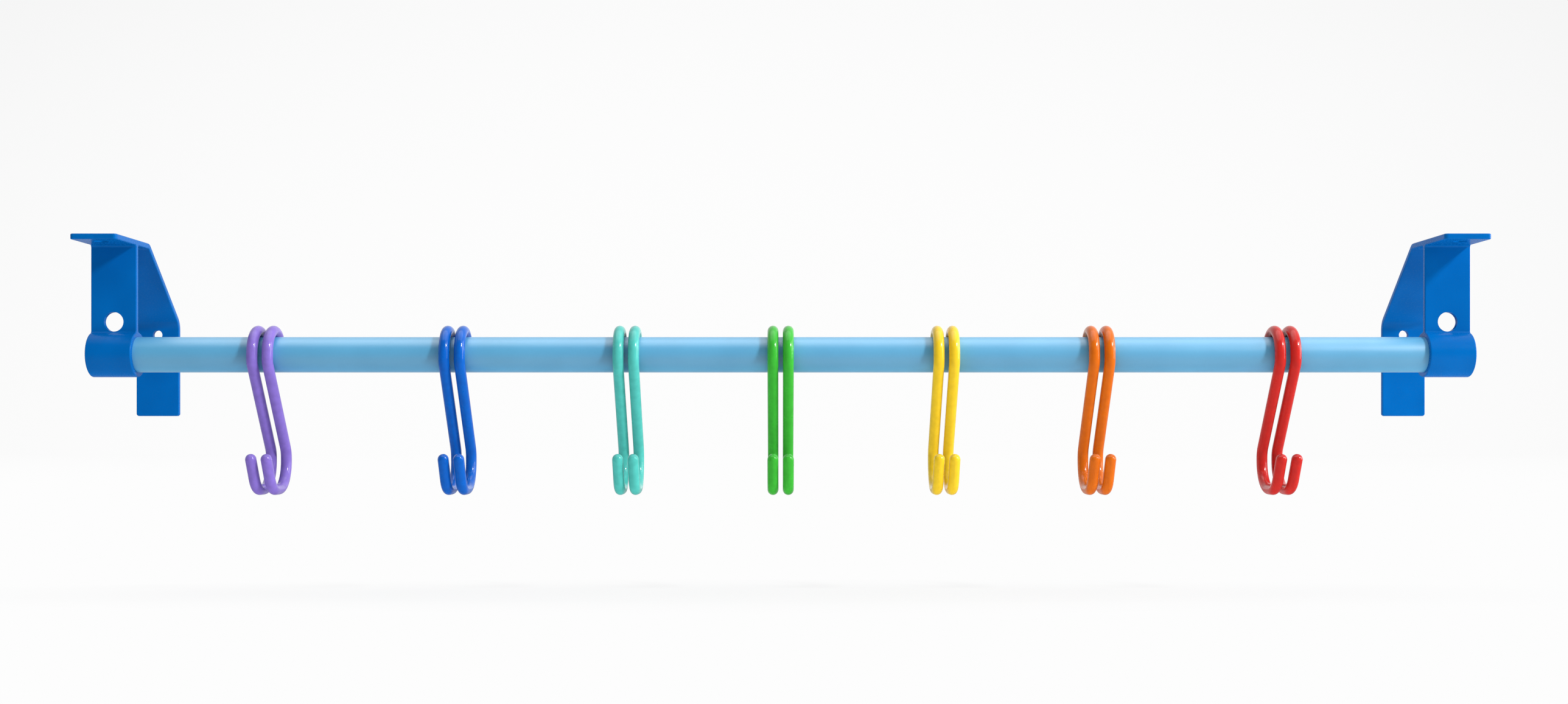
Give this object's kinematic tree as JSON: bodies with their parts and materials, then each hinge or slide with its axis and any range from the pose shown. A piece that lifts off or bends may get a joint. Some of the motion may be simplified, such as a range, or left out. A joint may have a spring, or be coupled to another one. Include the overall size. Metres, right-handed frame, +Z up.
{
  "type": "kitchen utensil rail",
  "caption": "Round tube rail between two extruded end brackets that screw to a wall or under a shelf, with sliding double-wire hooks in rainbow colours.",
  "frame": {"origin": "on the wall, midway between the two wall screw holes", "axes": "+X along the rail, +Y into the wall, +Z up"},
  "size_m": [0.6206, 0.0842, 0.1151],
  "materials": {
    "bracket_blue": "satin blue powder coat",
    "rail_light_blue": "satin light blue powder coat",
    "plug_blue": "moulded plastic",
    "screw_steel": "zinc plated",
    "hook_purple": "glossy purple coating on steel wire",
    "hook_blue": "glossy blue coating on steel wire",
    "hook_turquoise": "glossy turquoise coating on steel wire",
    "hook_green": "glossy green coating on steel wire",
    "hook_yellow": "glossy yellow coating on steel wire",
    "hook_orange": "glossy orange coating on steel wire",
    "hook_red": "glossy red coating on steel wire"
  },
  "bodies": {
    "rail_frame": {"left_bracket": "bracket_blue", "right_bracket": "bracket_blue", "rail_tube": "rail_light_blue", "left_end_plug": "plug_blue", "right_end_plug": "plug_blue", "left_set_screw": "screw_steel", "right_set_screw": "screw_steel"},
    "purple_hook": {"hook_purple": "hook_purple"},
    "blue_hook": {"hook_blue": "hook_blue"},
    "turquoise_hook": {"hook_turquoise": "hook_turquoise"},
    "green_hook": {"hook_green": "hook_green"},
    "yellow_hook": {"hook_yellow": "hook_yellow"},
    "orange_hook": {"hook_orange": "hook_orange"},
    "red_hook": {"hook_red": "hook_red"}
  },
  "joints": [
    {"name": "purple_hook_slide", "type": "slide", "parent": "rail_frame", "child": "purple_hook", "axis": [1, 0, 0], "range_m": [-0.0514, 0.0366]},
    {"name": "blue_hook_slide", "type": "slide", "parent": "rail_frame", "child": "blue_hook", "axis": [1, 0, 0], "range_m": [-0.0366, 0.0326]},
    {"name": "turquoise_hook_slide", "type": "slide", "parent": "rail_frame", "child": "turquoise_hook", "axis": [1, 0, 0], "range_m": [-0.0326, 0.0284]},
    {"name": "green_hook_slide", "type": "slide", "parent": "rail_frame", "child": "green_hook", "axis": [1, 0, 0], "range_m": [-0.0284, 0.0309]},
    {"name": "yellow_hook_slide", "type": "slide", "parent": "rail_frame", "child": "yellow_hook", "axis": [1, 0, 0], "range_m": [-0.0309, 0.0284]},
    {"name": "orange_hook_slide", "type": "slide", "parent": "rail_frame", "child": "orange_hook", "axis": [1, 0, 0], "range_m": [-0.0284, 0.0353]},
    {"name": "red_hook_slide", "type": "slide", "parent": "rail_frame", "child": "red_hook", "axis": [1, 0, 0], "range_m": [-0.0353, 0.0574]}
  ]
}
